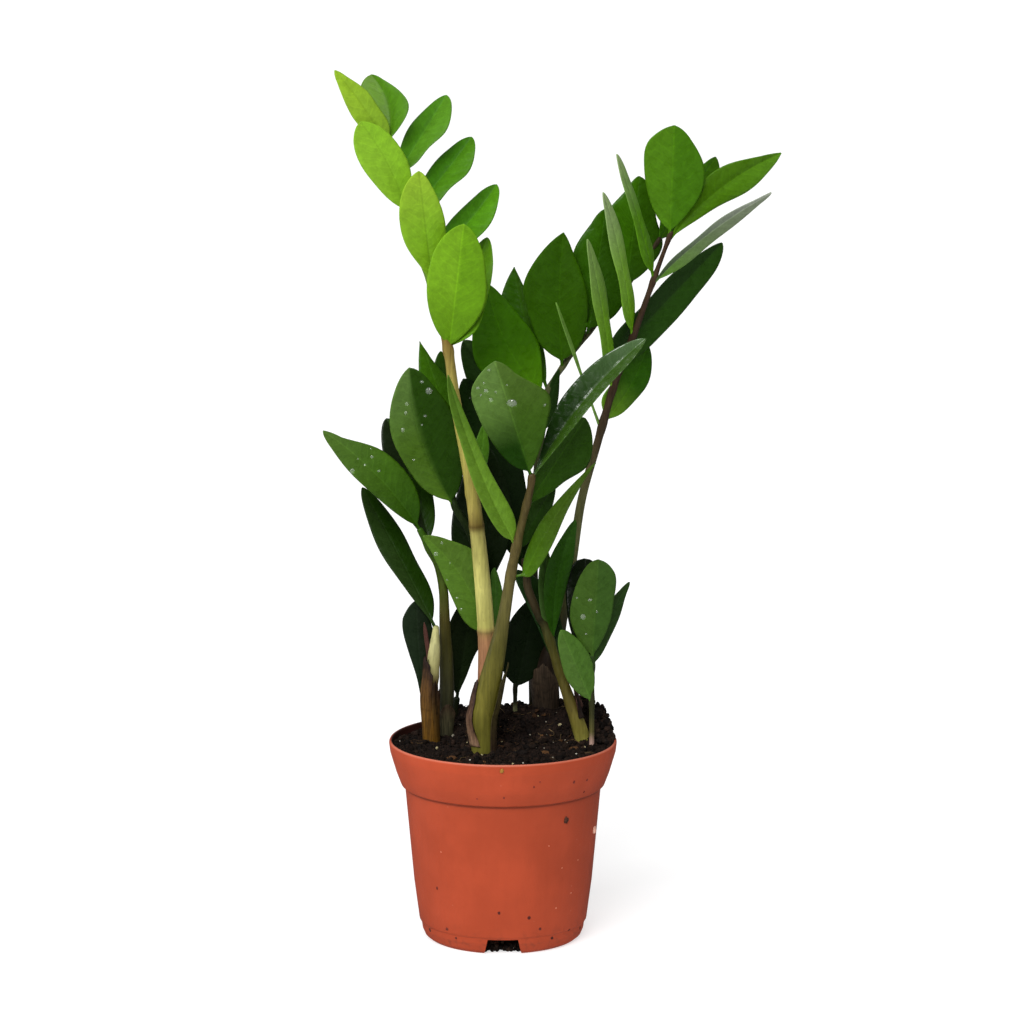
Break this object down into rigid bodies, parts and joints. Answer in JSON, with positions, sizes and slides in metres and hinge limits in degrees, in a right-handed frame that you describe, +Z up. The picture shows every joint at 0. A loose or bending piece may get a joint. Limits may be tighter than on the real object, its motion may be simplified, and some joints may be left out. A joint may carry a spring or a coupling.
{
  "type": "potted live plant",
  "caption": "Potted ZZ plant: upright fronds of pointed glossy leaflets on fleshy stems, standing in dark soil in a round flared nursery pot.",
  "frame": {"origin": "middle of the pot's underside, on the flat spot it rests on", "axes": "+Z up, +X to the viewer's right and +Y away from the viewer, as the picture shows the plant"},
  "size_m": [0.2397, 0.1259, 0.4622],
  "materials": {
    "pot": "satin moulded terracotta-coloured plastic",
    "soil": "moist dark potting soil",
    "new_foliage": "glossy bright new leaves",
    "fresh_foliage": "glossy leaves",
    "mature_foliage": "glossy deep green leaves",
    "dark_foliage": "glossy leaves in the shade of the plant"
  },
  "bodies": {
    "root": {"pot": "pot", "soil": "soil", "frond_tall_left": "new_foliage", "frond_front": "fresh_foliage", "frond_tall_right": "mature_foliage", "frond_back_right": "mature_foliage", "frond_left": "fresh_foliage", "frond_far_left": "dark_foliage", "frond_middle": "mature_foliage", "frond_low_right": "fresh_foliage", "shoot_right": "mature_foliage", "shoot_back": "dark_foliage", "shoot_back_left": "dark_foliage"}
  },
  "joints": []
}
